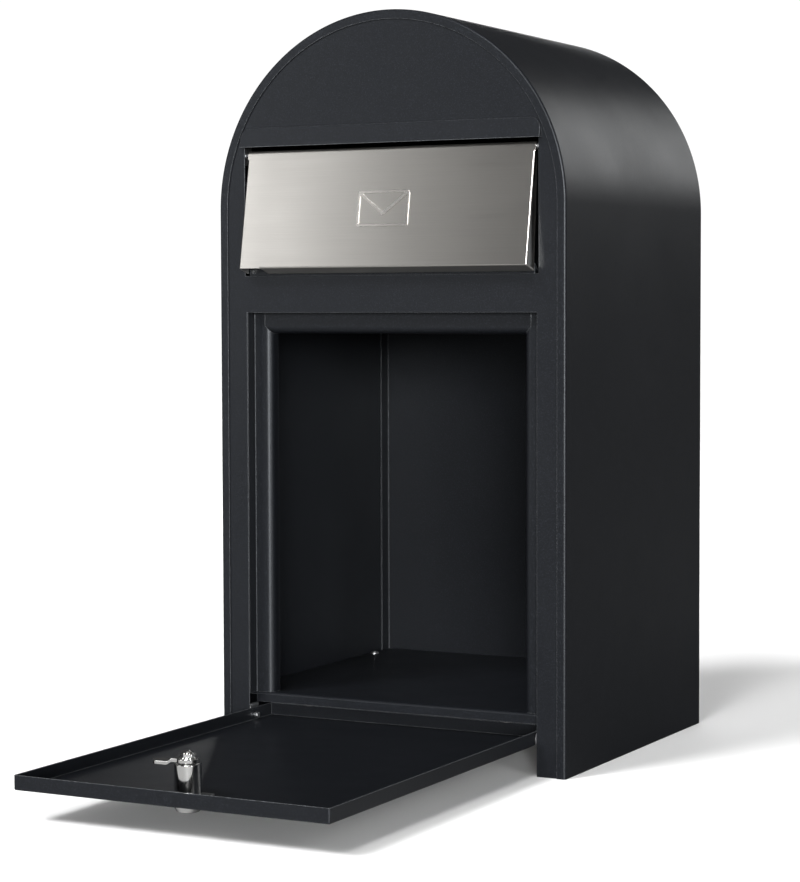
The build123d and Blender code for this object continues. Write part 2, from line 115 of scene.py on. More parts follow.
class ShaderTree:
    """A material's node tree with short ways to add and join nodes."""

    def __init__(self, name: str) -> None:
        """Start a material that holds a Principled shader."""
        self.material = bpy.data.materials.new(name)
        self.material.use_nodes = True
        self.nodes = self.material.node_tree.nodes
        self.shader = self.nodes["Principled BSDF"]

    def feed(self, target: NodeSocket, value: object) -> None:
        """Join an input socket to an output socket, or set it to a plain value."""
        if isinstance(value, NodeSocket):
            self.material.node_tree.links.new(value, target)
        else:
            target.default_value = value

    def add(self, kind: str, inputs: Sockets | None = None, **settings: object) -> bpy.types.Node:
        """Add a node.

        Args:
            kind: Node type, without its ShaderNode prefix.
            inputs: What each socket, by name or place, is joined or set to.
            **settings: Values for its properties.

        Returns:
            The new node.
        """
        node = self.nodes.new("ShaderNode" + kind)
        for key, value in settings.items():
            setattr(node, key, value)
        for key, value in (inputs or {}).items():
            self.feed(node.inputs[key], value)
        return node

    def take(self, output: str | int, kind: str, inputs: Sockets | None = None, **settings: object) -> NodeSocket:
        """Add a node and take one of its outputs."""
        return self.add(kind, inputs, **settings).outputs[output]

    def dress(self, sockets: dict[str, object]) -> None:
        """Join or set sockets of the shader, by name."""
        for name, value in sockets.items():
            self.feed(self.shader.inputs[name], value)

    def place(self, scale: Point = (1.0, 1.0, 1.0)) -> NodeSocket:
        """Object coordinates, stretched by a factor on each axis."""
        where = self.take("Object", "TexCoord")
        return self.take("Vector", "Mapping", {"Vector": where, "Scale": tuple(scale)})

    def noise(self, place: NodeSocket, scale: float, detail: float, roughness: float = 0.55) -> NodeSocket:
        """Noise of so many cells per metre."""
        cells = {"Vector": place, "Scale": scale, "Detail": detail, "Roughness": roughness}
        return self.take("Fac", "TexNoise", cells)

    def spread(self, value: NodeSocket, low: float, high: float, band: Range = (0.3, 0.7)) -> NodeSocket:
        """Stretch the band of a value to run from low to high."""
        ends = {"From Min": band[0], "From Max": band[1], "To Min": low, "To Max": high}
        return self.take("Result", "MapRange", {"Value": value, **ends})

    def reckon(self, operation: str, *terms: object) -> NodeSocket:
        """Result of a Math node on sockets or numbers."""
        return self.take("Value", "Math", dict(enumerate(terms)), operation=operation)

    def blend(
        self, share: NodeSocket, first: object, second: object, kind: Blend = Blend.COLOUR
    ) -> NodeSocket:
        """Blend two sockets or values; share is how much of the second there is."""
        data_type, at_first, at_second, result = kind.value
        return self.take(result, "Mix", {0: share, at_first: first, at_second: second}, data_type=data_type)

    def edges(self, reach_mm: float) -> NodeSocket:
        """Mask of the sharp edges, 1 on edges and 0 on flats, where the coat is made glossier and a painted
        highlight is laid.
        """
        rounded = self.take("Normal", "Bevel", {"Radius": reach_mm * MM}, samples=4)
        flat = self.take("True Normal", "NewGeometry")
        match = self.take("Value", "VectorMath", {0: rounded, 1: flat}, operation="DOT_PRODUCT")
        return self.spread(match, 1.0, 0.0, (0.86, 0.99))

    def bump(self, height: NodeSocket, depth_mm: float, strength: float) -> None:
        """Add a layer of relief to the shader's normal."""
        relief = self.add("Bump", {"Height": height, "Distance": depth_mm * MM, "Strength": strength})
        normal = self.shader.inputs["Normal"]
        if normal.links:
            self.feed(relief.inputs["Normal"], normal.links[0].from_socket)
        self.feed(normal, relief.outputs["Normal"])


@dataclass(frozen=True)
class Finish:
    """A surface finish that belongs to one material slot."""

    name: str
    slot: Slot
    colour: Colour
    roughness: float

    def paint(self, tree: ShaderTree) -> None:
        """Set up the shader; each finish adds its own detail."""
        tree.dress({"Base Color": self.shade(), "Roughness": self.roughness})

    def shade(self, factor: float = 1.0, lift: float = 0.0) -> tuple[float, ...]:
        """The finish's colour, opaque, multiplied and lifted."""
        return (*(c * factor + lift for c in self.colour), 1.0)

    def vary(
        self, tree: ShaderTree, value: NodeSocket, less: float, more: float, band: Range = (0.3, 0.7)
    ) -> NodeSocket:
        """Roughness that follows a value, from so much less to so much more than the finish's own."""
        return tree.spread(value, self.roughness - less, self.roughness + more, band)

    def material(self) -> bpy.types.Material:
        """The finish's material, made once."""
        found = bpy.data.materials.get(self.name)
        if found is None:
            tree = ShaderTree(self.name)
            self.paint(tree)
            found = tree.material
        return found


@dataclass(frozen=True)
class PowderCoat(Finish):
    """Satin powder coat with a fine leathery grain and faint pale specks."""

    grain_mm: float = 0.85
    swell_mm: float = 7.65
    relief_mm: float = 0.08
    swell_share: float = 0.6
    patches: float = 9.0
    fleck: float = 5.0
    fleck_band: Range = (0.53, 0.78)
    # painted highlight: the pale colour laid on sharp edges stands in for light glinting off their rounding
    edge_highlight: Colour = (0.19, 0.20, 0.21)
    edge_reach_mm: float = 0.65
    edge_least: float = 0.15
    edge_band: Range = (0.4, 0.62)
    edge_gloss: float = 0.24
    index: float = 1.36
    tint: Colour = (0.91, 0.955, 1.0)

    def paint(self, tree: ShaderTree) -> None:
        """Grain in the relief, specks in the colour, soft patches in the gloss, glossier edges with a painted
        highlight colour.
        """
        super().paint(tree)
        place = tree.place()
        grain = tree.noise(place, 1 / (self.grain_mm * MM), 4.0, 0.6)
        swell = tree.noise(place, 1 / (self.swell_mm * MM), 2.0)
        patches = tree.noise(place, self.patches, 4.0)
        coat = tree.blend(tree.spread(grain, 0.0, 1.0, self.fleck_band), self.shade(), self.shade(self.fleck))
        broken = tree.spread(grain, self.edge_least, 1.0, self.edge_band)
        # this edge mask makes the edges glossier and also paints the pale highlight colour on them
        rubbed_and_highlit = tree.reckon("MULTIPLY", tree.edges(self.edge_reach_mm), broken)
        gloss = tree.reckon("MULTIPLY_ADD", rubbed_and_highlit, -self.edge_gloss, self.vary(tree, patches, 0.04, 0.05))
        tree.dress({
            "Base Color": tree.blend(rubbed_and_highlit, coat, (*self.edge_highlight, 1.0)),
            "Roughness": gloss,
            "IOR": self.index,
            "Specular Tint": (*self.tint, 1.0),
        })
        tree.bump(swell, self.swell_share * self.relief_mm, 0.4)
        tree.bump(grain, self.relief_mm, 0.9)


@dataclass(frozen=True)
class BrushedSheet(Finish):
    """Stainless sheet brushed along its length, which stretches its highlights across the brushing."""

    stroke_mm: float = 0.22
    streak_mm: float = 60.0
    relief_mm: float = 0.004
    darkest: float = 0.93
    clouds: float = 14.0
    anisotropy: float = 0.8

    def paint(self, tree: ShaderTree) -> None:
        """Fine strokes along X in the colour, the gloss and the relief."""
        super().paint(tree)
        across, along = 1 / (self.stroke_mm * MM), 1 / (self.streak_mm * MM)
        strokes = tree.noise(tree.place((along, across, across)), 1.0, 2.0, 0.5)
        bands = tree.noise(tree.place((along / 2, across / 8, across / 8)), 1.0, 2.0)
        clouds = tree.noise(tree.place(), self.clouds, 3.0)
        less, more = 0.015, 0.02
        gloss = tree.reckon("ADD", self.vary(tree, bands, less, more), tree.spread(clouds, -less, more))
        tree.dress({
            "Base Color": tree.blend(tree.spread(strokes, 0.0, 1.0), self.shade(self.darkest), self.shade()),
            "Roughness": gloss,
            "Metallic": 1.0,
            "Anisotropic": self.anisotropy,
            "Anisotropic Rotation": 0.25,
            "Tangent": tree.take("Vector", "CombineXYZ", {"X": 1.0}),
        })
        tree.bump(strokes, self.relief_mm, 0.4)


@dataclass(frozen=True)
class BrightPlate(Finish):
    """Bright plated metal with hairline scuffs and slightly uneven casting."""

    scuff_cells: Point = (300.0, 2600.0, 900.0)
    wave_cells: float = 240.0

    def paint(self, tree: ShaderTree) -> None:
        """Scuffs in the gloss, slow waves in the relief."""
        super().paint(tree)
        scuffs = tree.noise(tree.place(self.scuff_cells), 1.0, 5.0, 0.7)
        waves = tree.noise(tree.place(), self.wave_cells, 2.0)
        tree.dress({"Roughness": self.vary(tree, scuffs, 0.0, 0.13, (0.45, 0.75)), "Metallic": 1.0})
        tree.bump(waves, 0.04, 0.25)


@dataclass(frozen=True)
class ZincPlate(Finish):
    """Zinc plated steel with a dull, cloudy crystal pattern."""

    crystal_cells: float = 420.0
    cloud_cells: float = 160.0
    darkest: float = 0.72

    def paint(self, tree: ShaderTree) -> None:
        """Crystals in the colour and the gloss."""
        super().paint(tree)
        place = tree.place()
        crystals = tree.take("Distance", "TexVoronoi", {"Vector": place, "Scale": self.crystal_cells})
        clouds = tree.noise(place, self.cloud_cells, 4.0)
        facets = tree.spread(tree.reckon("MULTIPLY", crystals, clouds), 0.0, 1.0, (0.0, 0.35))
        tree.dress({
            "Base Color": tree.blend(facets, self.shade(self.darkest), self.shade()),
            "Roughness": self.vary(tree, clouds, 0.08, 0.1),
            "Metallic": 1.0,
        })
        tree.bump(clouds, 0.03, 0.3)


@dataclass(frozen=True)
class Moulding(Finish):
    """Moulded rubber or plastic with a fine grain and a bloom of dust."""

    grain_mm: float = 0.6
    bloom_cells: float = 90.0

    def paint(self, tree: ShaderTree) -> None:
        """Grain in the relief, bloom in the colour."""
        super().paint(tree)
        place = tree.place()
        grain = tree.noise(place, 1 / (self.grain_mm * MM), 3.0)
        bloom = tree.spread(tree.noise(place, self.bloom_cells, 4.0), 0.0, 1.0)
        tree.dress({
            "Base Color": tree.blend(bloom, self.shade(), self.shade(1.7, 0.004)),
            "Roughness": self.vary(tree, grain, 0.06, 0.06),
        })
        tree.bump(grain, 0.06, 0.4)


BLACK_COAT = PowderCoat("black_powder_coat", Slot.CASING, (0.0041, 0.0046, 0.0058), 0.39)
STAINLESS = BrushedSheet("brushed_stainless", Slot.FLAP, (0.64, 0.62, 0.588), 0.32)
STAMPED = BrushedSheet("stamped_stainless", Slot.FLAP, (0.64, 0.62, 0.588), 0.22, anisotropy=0.3)
LOCK_PLATE = BrightPlate("bright_lock_plate", Slot.LOCK, (0.86, 0.86, 0.845), 0.08)
ZINC = ZincPlate("dull_zinc", Slot.ZINC, (0.52, 0.53, 0.54), 0.36)
PAD_RUBBER = Moulding("pad_rubber", Slot.RUBBER, (0.017, 0.017, 0.018), 0.62)
BUSH_NYLON = Moulding("bush_nylon", Slot.NYLON, (0.035, 0.035, 0.037), 0.42, grain_mm=0.9)


# ---------------------------------------------------------------- sheet-metal drawing


class Outline:
    """A chain of edges drawn point by point; arcs are made by spinning its last point."""

    def __init__(self, mesh: BMesh, start: Point) -> None:
        """Start a chain at its first point."""
        self.mesh = mesh
        self.verts: list[BMVert] = [mesh.verts.new(start)]
        self.edges: list[BMEdge] = []

    def line(self, *points: Point) -> "Outline":
        """Go straight to each point in turn."""
        for point in points:
            vert = self.mesh.verts.new(point)
            self.edges.append(self.mesh.edges.new((self.verts[-1], vert)))
            self.verts.append(vert)
        return self

    def arc(self, centre: Point, axis: Point, angle: float, steps: int) -> "Outline":
        """Turn round a centre.

        Args:
            centre: Centre of the arc.
            axis: Axis of the turn.
            angle: Angle in radians, right-handed about the axis.
            steps: Number of chords.

        Returns:
            The chain itself.
        """
        verts_before, edges_before = len(self.mesh.verts), len(self.mesh.edges)
        bmesh.ops.spin(
            self.mesh, geom=[self.verts[-1]], cent=Vector(centre), axis=Vector(axis), angle=angle, steps=steps
        )
        self.mesh.verts.ensure_lookup_table()
        self.mesh.edges.ensure_lookup_table()
        self.verts += list(self.mesh.verts)[verts_before:]
        self.edges += list(self.mesh.edges)[edges_before:]
        return self

    def close(self) -> "Outline":
        """Join the last point to the first."""
        self.edges.append(self.mesh.edges.new((self.verts[-1], self.verts[0])))
        return self


def loop(mesh: BMesh, points: Sequence[Point]) -> list[BMEdge]:
    """Draw straight edges from point to point and back to the first."""
    return Outline(mesh, points[0]).line(*points[1:]).close().edges


def folded(mesh: BMesh, corners: Sequence[Point], radii: Sequence[float], steps: int = 6) -> Outline:
    """Draw a folded section whose inner corners are rounded.

    Args:
        mesh: Mesh to draw in.
        corners: Corners of the section, the two ends included.
        radii: Radius at each corner between the ends; 0 keeps it sharp.
        steps: Chords in each bend.

    Returns:
        The chain.
    """
    chain = Outline(mesh, corners[0])
    for before, corner, after, radius in zip(corners, corners[1:], corners[2:], radii):
        here = Vector(corner)
        come, leave = (here - Vector(before)).normalized(), (Vector(after) - here).normalized()
        turn = come.angle(leave)
        if radius <= 0:
            chain.line(here)
            continue
        centre = here + (leave - come).normalized() * radius / math.cos(turn / 2)
        chain.line(here - come * radius * math.tan(turn / 2))
        chain.arc(centre, come.cross(leave), turn, steps)
    return chain.line(corners[-1])


def circle(
    mesh: BMesh, centre: Point, radius: float, axis: Axis = Axis.Z, segments: int = 32
) -> list[BMEdge]:
    """Draw a closed circle round an axis; gives its edges."""
    lay = Matrix.Translation(Vector(centre)) @ Matrix.Rotation(*axis.value)
    made = bmesh.ops.create_circle(mesh, cap_ends=False, radius=radius, segments=segments, matrix=lay)
    return list({e for v in made["verts"] for e in v.link_edges})


def sweep(mesh: BMesh, edges: Iterable[BMEdge], *moves: Point) -> list[BMEdge]:
    """Draw faces by pulling edges along moves made one after another; gives the edges at the far end."""
    last = list(edges)
    for move in moves:
        made = bmesh.ops.extrude_edge_only(mesh, edges=last)["geom"]
        verts = {v for v in made if isinstance(v, BMVert)}
        far = [e for e in made if isinstance(e, BMEdge) and len(e.link_faces) == 1]
        last = [e for e in far if verts.issuperset(e.verts)]
        bmesh.ops.translate(mesh, verts=list(verts), vec=Vector(move))
    return last


def thicken(mesh: BMesh, faces: Iterable[BMFace], move: Point) -> None:
    """Pull faces along a move, which leaves a solid behind them."""
    made = bmesh.ops.extrude_face_region(mesh, geom=list(faces))["geom"]
    bmesh.ops.translate(mesh, vec=Vector(move), verts=[v for v in made if isinstance(v, BMVert)])


def fill(mesh: BMesh, edges: Iterable[BMEdge], normal: Point) -> list[BMFace]:
    """Fill a flat outline that may have holes with faces that turn to a normal."""
    made = bmesh.ops.triangle_fill(mesh, use_beauty=True, edges=list(edges), normal=Vector(normal))
    faces = [f for f in made["geom"] if isinstance(f, BMFace)]
    for face in faces:
        if face.normal.dot(Vector(normal)) < 0:
            face.normal_flip()
    return faces


def merge(mesh: BMesh) -> None:
    """Make points that coincide one point."""
    bmesh.ops.remove_doubles(mesh, verts=mesh.verts[:], dist=MERGE)


def round_folds(mesh: BMesh, width: float, segments: int = 4, least_deg: float = 50.0) -> None:
    """Round the folds of a sheet before it gets its wall.

    Args:
        mesh: Mesh of one connected sheet.
        width: Distance from the fold to the end of its rounding.
        segments: Chords across the fold.
        least_deg: Smallest turn that counts as a fold.
    """
    merge(mesh)
    bmesh.ops.recalc_face_normals(mesh, faces=mesh.faces[:])
    least = math.radians(least_deg)
    folds = [e for e in mesh.edges if len(e.link_faces) == 2 and e.calc_face_angle() > least]
    bmesh.ops.bevel(
        mesh, geom=folds, offset=width, offset_type="OFFSET", segments=segments, profile=0.5, affect="EDGES",
        material=-1, clamp_overlap=True,
    )


def face_towards(mesh: BMesh, point: Point, direction: Point) -> None:
    """Turn an open, connected sheet so that the face nearest a point looks in a direction."""
    bmesh.ops.recalc_face_normals(mesh, faces=mesh.faces[:])
    where = Vector(point)
    nearest = min(mesh.faces, key=lambda f: (f.calc_center_median() - where).length)
    if nearest.normal.dot(Vector(direction)) < 0:
        bmesh.ops.reverse_faces(mesh, faces=mesh.faces[:])


def make_piece(
    name: str,
    mesh: BMesh,
    node: str = "",
    finish: Finish = BLACK_COAT,
    body: Body = Body.CASING,
    sheet: float = 0.0,
    soften: float = 0.25,
    segments: int = 2,
) -> None:
    """Make an object from a mesh drawn in millimetres, dress it and let it ride.

    Args:
        name: Name of the piece.
        mesh: Its mesh, which is used up.
        node: CAD node that it stands for, if any.
        finish: Its finish.
        body: Body that it moves with.
        sheet: Wall added behind the drawn faces; 0 for a closed solid, whose faces are turned outwards.
        soften: Width of the rounding on sharp edges.
        segments: Chords in that rounding.
    """
    merge(mesh)
    if not sheet:
        bmesh.ops.recalc_face_normals(mesh, faces=mesh.faces[:])
    bmesh.ops.scale(mesh, vec=Vector((MM, MM, MM)), verts=mesh.verts[:])
    data = bpy.data.meshes.new(name)
    mesh.to_mesh(data)
    mesh.free()
    obj = bpy.data.objects.new(name, data)
    bpy.context.scene.collection.objects.link(obj)
    if sheet:
        wall = obj.modifiers.new("wall", "SOLIDIFY")
        wall.thickness = sheet * MM
        wall.offset = -1.0
        wall.use_even_offset = True
    edge = obj.modifiers.new("edge", "BEVEL")
    edge.width = soften * MM
    edge.segments = segments
    edge.limit_method = "ANGLE"
    edge.angle_limit = math.radians(35)
    obj.modifiers.new("shade", "WEIGHTED_NORMAL").keep_sharp = True
    settle(obj)
    obj.data.materials.clear()
    obj.data.materials.append(finish.material())
    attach(obj, body.value)
    if node:
        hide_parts(node)
    LOG.info("%s: %d faces on %s", name, len(obj.data.polygons), body.value)


def settle(obj: bpy.types.Object) -> None:
    """Apply an object's modifiers and shade it smooth, with hard edges kept hard."""
    obj.data.shade_smooth()
    obj.data.set_sharp_from_angle(angle=math.radians(50))
    done = bpy.data.meshes.new_from_object(obj.evaluated_get(bpy.context.evaluated_depsgraph_get()))
    obj.modifiers.clear()
    old, obj.data = obj.data, done
    done.name = obj.name
    bpy.data.meshes.remove(old)


def formed_copy(node: str, finish: Finish, body: Body) -> None:
    """A copy of a CAD node with rounded edges, for small plain parts."""
    mesh = bmesh.new()
    mesh.from_mesh(frame["nodes"][node].data)
    bmesh.ops.scale(mesh, vec=Vector((1 / MM, 1 / MM, 1 / MM)), verts=mesh.verts[:])
    bmesh.ops.remove_doubles(mesh, verts=mesh.verts[:], dist=4 * MERGE)
    bmesh.ops.dissolve_limit(
        mesh, angle_limit=math.radians(1.0), verts=mesh.verts[:], edges=mesh.edges[:], delimit=set()
    )
    make_piece(f"{node}_formed", mesh, node, finish, body, soften=0.3)


def node_box(node: str) -> tuple[Vector, Vector]:
    """A CAD node's lowest and highest corners, in millimetres."""
    low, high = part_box(node)
    return low / MM, high / MM


def joint_point(joint: str) -> Vector:
    """A joint's position, in millimetres."""
    return Vector(next(j for j in frame["joints"] if j["name"] == joint)["pos_m"]) / MM


# ---------------------------------------------------------------- places shared by the pieces


class Layout:
    """Places that several pieces share, in millimetres."""

    sheet = 1.2
    ring = 7.5
    frame_flange = 10.0

    def __init__(self) -> None:
        """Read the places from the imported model."""
        low, high = node_box("casing_wrap")
        self.half, self.front, self.back, top = high.x, low.y, high.y, high.z
        self.arch = top - self.half
        self.inner = self.half - self.sheet
        self.panel_front = self.front + self.sheet
        self.panel_back = self.front + 2 * self.sheet
        low, high = node_box("door_frame_left")
        self.clear_half, self.opening_top = -high.x, high.z
        self.opening_half = -low.x - self.frame_flange
        low, high = node_box("door_frame_top")
        self.clear_top, self.lip_back = low.z, high.y
        low, high = node_box("floor_pan")
        self.floor_top, self.land_y = high.z, low.y


PLACE = Layout()


def arch_outline(mesh: BMesh, radius: float, y: float, steps: int = 96) -> Outline:
    """Draw an open arch that stands on the base, from its left foot to its right foot."""
    chain = Outline(mesh, (-radius, y, 0)).line((-radius, y, PLACE.arch))
    chain.arc((0, y, PLACE.arch), BACKWARD, math.pi, steps)
    return chain.line((radius, y, 0))


# ---------------------------------------------------------------- casing


@dataclass
class Casing:
    """Wrap, feet, front panel, back panel, visor, floor and the small parts fixed to them."""

    ring_bend: float = 2.0
    foot_width: float = 18.0
    foot_hole: float = 4.5
    foot_hole_half_y: float = 100.0
    slot_bottom: float = 391.0
    slot_height: float = 105.5
    slot_side_gap: float = 3.0
    back_flange: float = 12.0
    back_bend: float = 2.4
    wall_hole: float = 4.0
    wall_hole_half_x: float = 90.0
    wall_hole_heights: Range = (25.0, 425.0)
    visor_sheet: float = 1.0
    visor_wall: float = 0.9
    visor_corner: float = 9.0
    visor_bend: float = 0.7
    floor_bend: float = 2.2
    screw_head: float = 3.8
    screw_shank: float = 2.0
    small_parts: tuple[tuple[str, Finish], ...] = (
        ("slot_ramp", BLACK_COAT),
        ("floor_rail_left", BLACK_COAT),
        ("floor_rail_right", BLACK_COAT),
        ("door_bracket_left", ZINC),
        ("door_bracket_right", ZINC),
        ("door_bush_left", BUSH_NYLON),
        ("door_bush_right", BUSH_NYLON),
        ("door_stop_pads", PAD_RUBBER),
        ("flap_rod", ZINC),
        ("flap_rod_caps", BUSH_NYLON),
        ("flap_bracket_left", ZINC),
        ("flap_bracket_right", ZINC),
        ("flap_buffers", PAD_RUBBER),
    )

    def build(self) -> None:
        """Make every piece of the casing."""
        sheets = (self.wrap, self.feet, self.front_panel, self.back_panel, self.visor, self.floor)
        for make in (*sheets, self.screws):
            make()
        for node, finish in self.small_parts:
            formed_copy(node, finish, Body.CASING)

    def wrap(self) -> None:
        """One sheet over the arch, its front edge folded in to a narrow ring."""
        mesh = bmesh.new()
        half, front, arch = PLACE.half, PLACE.front, PLACE.arch
        corners = [(PLACE.ring - half, front, 0), (-half, front, 0), (-half, PLACE.back, 0)]
        edges = sweep(mesh, folded(mesh, corners, [self.ring_bend], steps=8).edges, (0, 0, arch))
        legs: list = list({v for e in edges for v in e.verts}) + edges
        made = bmesh.ops.spin(
            mesh, geom=legs, cent=Vector((0, 0, arch)), axis=Vector(BACKWARD), angle=math.pi, steps=128
        )
        sweep(mesh, [e for e in made["geom_last"] if isinstance(e, BMEdge)], (0, 0, -arch))
        face_towards(mesh, (-half, 0, arch / 2), (-1, 0, 0))
        make_piece("casing_wrap_shell", mesh, "casing_wrap", sheet=PLACE.sheet, soften=0.3, segments=3)

    def feet(self) -> None:
        """Turned-in feet with their stand holes."""
        mesh = bmesh.new()
        start, end = PLACE.panel_back, PLACE.back - PLACE.sheet - self.back_flange
        for side in Side:
            outer, inner = side.value * PLACE.inner, side.value * (PLACE.inner - self.foot_width)
            edges = list(loop(mesh, [(outer, start, 0), (inner, start, 0), (inner, end, 0), (outer, end, 0)]))
            for y in (-self.foot_hole_half_y, self.foot_hole_half_y):
                edges += circle(mesh, ((outer + inner) / 2, y, 0), self.foot_hole)
            fill(mesh, edges, DOWN)
        make_piece("casing_feet", mesh, sheet=PLACE.sheet)

    def front_panel(self) -> None:
        """Arch-shaped front with the letter slot and the door opening."""
        mesh = bmesh.new()
        y, wall, top = PLACE.panel_front, PLACE.opening_half, PLACE.opening_top
        chain = arch_outline(mesh, PLACE.inner, y)
        chain.line((wall, y, 0), (wall, y, top), (-wall, y, top), (-wall, y, 0)).close()
        half = node_box("mail_flap")[1].x + self.slot_side_gap
        low, high = self.slot_bottom, self.slot_bottom + self.slot_height
        slot = loop(mesh, [(-half, y, low), (half, y, low), (half, y, high), (-half, y, high)])
        fill(mesh, chain.edges + slot, FORWARD)
        make_piece("front_panel_sheet", mesh, "front_panel", sheet=PLACE.sheet, soften=0.4, segments=3)

    def back_panel(self) -> None:
        """Arch-shaped back, its edge folded forward, with four wall holes."""
        mesh = bmesh.new()
        depth = self.back_flange + PLACE.sheet
        sweep(mesh, arch_outline(mesh, PLACE.inner, PLACE.back - depth).edges, (0, depth, 0))
        edges = [e for e in mesh.edges if all(abs(v.co.y - PLACE.back) < NEAR for v in e.verts)]
        edges.append(mesh.edges.new([v for v in {v for e in edges for v in e.verts} if v.co.z < NEAR]))
        for x in (-self.wall_hole_half_x, self.wall_hole_half_x):
            for z in self.wall_hole_heights:
                edges += circle(mesh, (x, PLACE.back, z), self.wall_hole, Axis.Y)
        fill(mesh, edges, BACKWARD)
        round_folds(mesh, self.back_bend)
        face_towards(mesh, (60, PLACE.back, 300), BACKWARD)
        make_piece("back_panel_sheet", mesh, "back_panel", sheet=PLACE.sheet, soften=0.3)

    def visor(self) -> None:
        """Pressed brow over the slot: its lower lip stands forward and its upper corners are round."""
        mesh = bmesh.new()
        low, high = node_box("rain_visor")
        seat, half = PLACE.panel_front - self.visor_sheet, high.x
        corners = [(-half, seat, low.z), (-half, seat, high.z), (half, seat, high.z), (half, seat, low.z)]
        chain = folded(mesh, corners, [self.visor_corner, self.visor_corner], steps=8)
        lip = mesh.edges.new((chain.verts[-1], chain.verts[0]))
        bmesh.ops.contextual_create(mesh, geom=chain.edges + [lip])
        slope = (seat - low.y) / (high.z - low.z)
        for vert in mesh.verts:
            vert.co.y = seat - slope * (high.z - vert.co.z)
        rim = bmesh.ops.extrude_edge_only(mesh, edges=chain.edges)["geom"]
        for vert in (v for v in rim if isinstance(v, BMVert)):
            vert.co.y = PLACE.panel_front
        round_folds(mesh, self.visor_bend, segments=3)
        face_towards(mesh, (0, low.y, (low.z + high.z) / 2), FORWARD)
        make_piece("rain_visor_brow", mesh, "rain_visor", sheet=self.visor_wall, soften=0.22)

    def floor(self) -> None:
        """Raised floor with a turned-down sill between the frame's side members."""
        mesh = bmesh.new()
        low, high = node_box("floor_pan")
        sill, brim = PLACE.opening_half, high.x - PLACE.opening_half
        corners = [(low.x, low.y, low.z), (low.x, low.y, high.z), (low.x, high.y, high.z)]
        section = folded(mesh, corners, [self.floor_bend])
        sweep(mesh, section.edges, (brim, 0, 0), (2 * sill, 0, 0), (brim, 0, 0))
        bend = high.z - self.floor_bend - NEAR
        middles = [(f, f.calc_center_median()) for f in mesh.faces]
        spare = [f for f, c in middles if abs(c.x) > sill and c.z < bend]
        bmesh.ops.delete(mesh, geom=spare, context="FACES")
        face_towards(mesh, (0, 0, high.z), UP)
        make_piece("floor_sheet", mesh, "floor_pan", sheet=PLACE.sheet, soften=0.3)

    def screws(self) -> None:
        """Four pan-head screws with a cross recess."""
        mesh = bmesh.new()
        low, high = node_box("floor_screws")
        head, under = self.screw_head, PLACE.floor_top
        for x in (low.x + head, high.x - head):
            for y in (low.y + head, high.y - head):
                self.screw(mesh, Vector((x, y, under)), high.z - under, under - low.z)
        make_piece("floor_screw_set", mesh, "floor_screws", ZINC, soften=0.12)

    def screw(self, mesh: BMesh, seat: Vector, height: float, length: float) -> None:
        """One screw that points down.

        Args:
            mesh: Mesh to draw in.
            seat: Centre of the face under its head.
            height: Height of the head.
            length: Length under the head.
        """
        x, y, z = seat
        head, shank, top = self.screw_head, self.screw_shank, z + height
        flat = 0.62 * head
        half_section = [
            (0, z - length), (shank, z - length), (shank, z), (head, z), (head, z + 0.3 * height),
            (0.86 * head, z + 0.8 * height), (flat, top),
        ]
        points: list[Point] = [(x + radius, y, level) for radius, level in half_section]
        profile = Outline(mesh, points[0]).line(*points[1:])
        geometry: list = profile.verts + profile.edges
        bmesh.ops.spin(
            mesh, geom=geometry, cent=seat, axis=Vector(UP), angle=2 * math.pi, steps=24, use_merge=True
        )
        merge(mesh)

        def on_rim(vert: BMVert) -> bool:
            """Whether a point is on the rim of the head's flat top."""
            return abs(vert.co.z - top) < MERGE and abs((vert.co.xy - seat.xy).length - flat) < NEAR

        rim = [e for e in mesh.edges if all(map(on_rim, e.verts))]
        arm, width = 0.44 * head, 0.13 * head
        corner = [(width, arm), (width, width), (arm, width)]
        points = []
        for _ in range(4):
            points += [(x + dx, y + dy, top) for dx, dy in corner]
            corner = [(dy, -dx) for dx, dy in corner]
        cross = loop(mesh, points)
        fill(mesh, rim + cross, UP)
        fill(mesh, sweep(mesh, cross, (0, 0, -0.75 * height)), UP)


